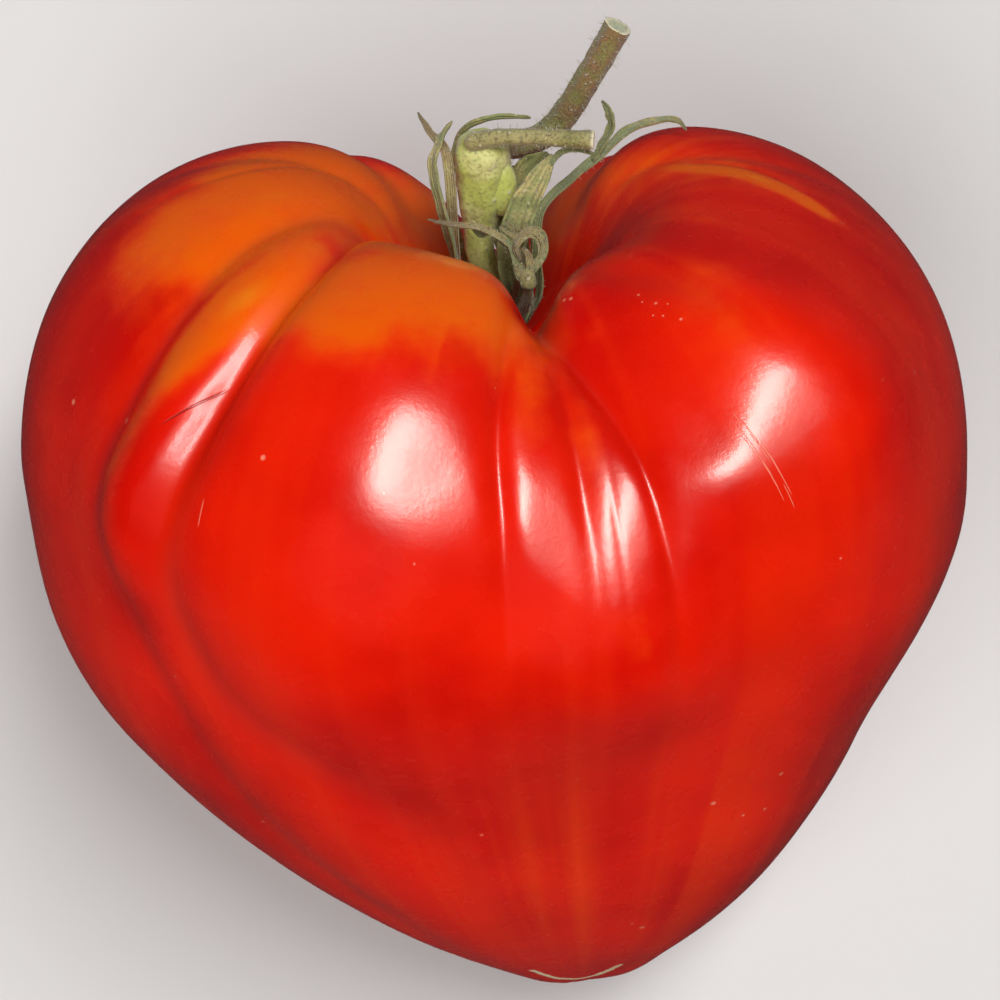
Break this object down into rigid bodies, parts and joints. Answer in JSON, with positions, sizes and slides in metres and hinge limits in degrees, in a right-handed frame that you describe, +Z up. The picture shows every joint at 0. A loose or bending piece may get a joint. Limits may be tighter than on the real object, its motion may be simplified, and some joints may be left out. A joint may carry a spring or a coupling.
{
  "type": "oxheart tomato",
  "caption": "Large ripe heart-shaped tomato with deep folds, lying on its back on a small flat spot, with its calyx and a cut stalk.",
  "frame": {"origin": "the middle of the small flat spot on the fruit's back, on the surface that it lies on", "axes": "+Z up, +Y level towards the stalk's end, -Y towards the blossom tip, +X to the right of someone who looks down with the stalk's end away from them"},
  "size_m": [0.1086, 0.1135, 0.0957],
  "materials": {
    "skin": "smooth glossy red skin, orange on the shoulders, with fine specks and stripes",
    "sepal": "matt, half dried, grey green to straw brown, finely hairy",
    "stem": "matt yellow green to olive, finely hairy, with pale cut ends"
  },
  "bodies": {
    "root": {"fruit": "skin", "calyx": "sepal", "stalk": "stem"}
  },
  "joints": []
}
